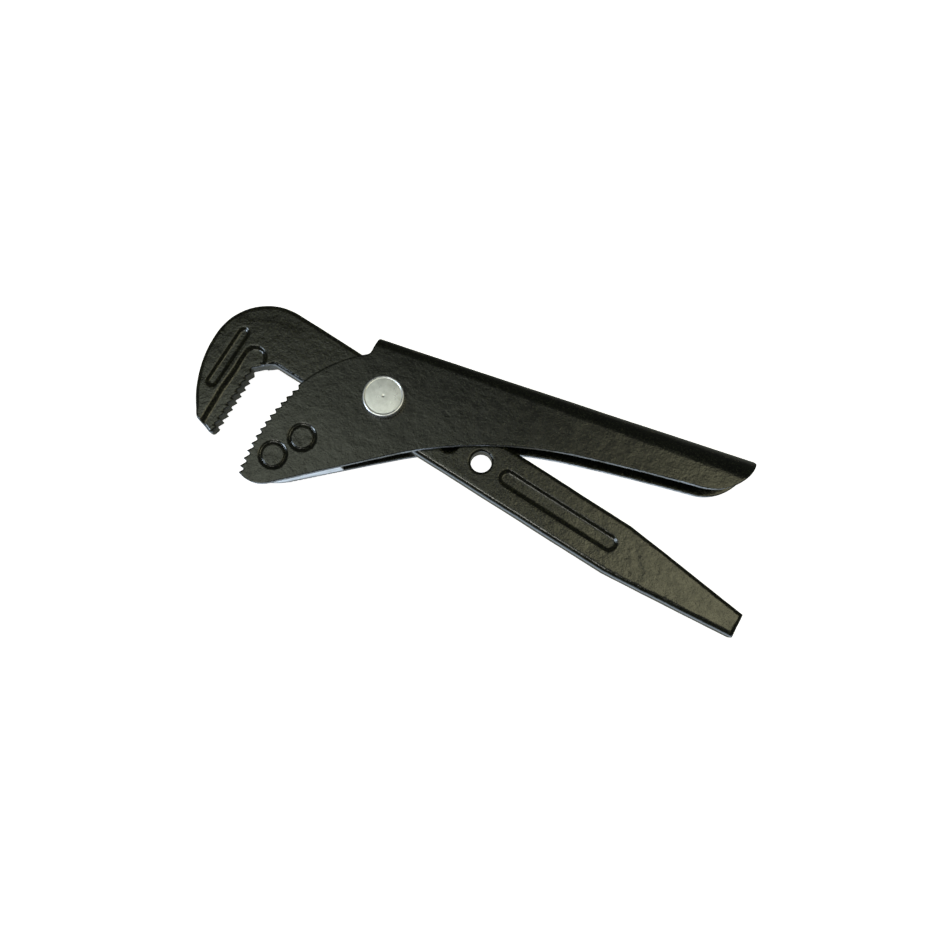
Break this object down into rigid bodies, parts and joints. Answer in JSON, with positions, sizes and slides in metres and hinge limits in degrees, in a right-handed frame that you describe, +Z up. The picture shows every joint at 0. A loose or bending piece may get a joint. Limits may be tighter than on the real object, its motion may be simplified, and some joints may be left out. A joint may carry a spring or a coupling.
{
  "type": "pipe wrench",
  "caption": "Adjustable pipe wrench: a forged hook-jaw bar pivots on a knurled screw between the flanges of a pressed channel handle with a toothed nose.",
  "frame": {"origin": "on the pivot screw's axis, in the plane of the bush's outer end face and the screw's tip, on which the wrench lies", "axes": "+Z up the pivot axis to the screw's knurled head, +X back along the channel's spine to the handles' ends, +Y from the pivot towards the channel's spine"},
  "size_m": [0.1776, 0.0553, 0.0179],
  "materials": {
    "bar_enamel": "satin",
    "channel_enamel": "satin",
    "block_steel": "satin",
    "rivet_enamel": "satin",
    "screw_steel": "turned satin",
    "bush_enamel": "satin"
  },
  "bodies": {
    "channel": {"channel_handle": "channel_enamel", "nose_block": "block_steel", "nose_rivet_front": "rivet_enamel", "nose_rivet_rear": "rivet_enamel", "threaded_bush": "bush_enamel"},
    "bar": {"jaw_bar": "bar_enamel"},
    "screw": {"pivot_screw": "screw_steel"}
  },
  "joints": [
    {"name": "bar_pivot", "type": "hinge", "parent": "channel", "child": "bar", "pos_m": [0, 0, 0], "axis": [0, 0, 1], "range_deg": [-19, 18]},
    {"name": "screw_withdraw", "type": "slide", "parent": "channel", "child": "screw", "axis": [0, 0, 1], "range_m": [0, 0.02]}
  ]
}
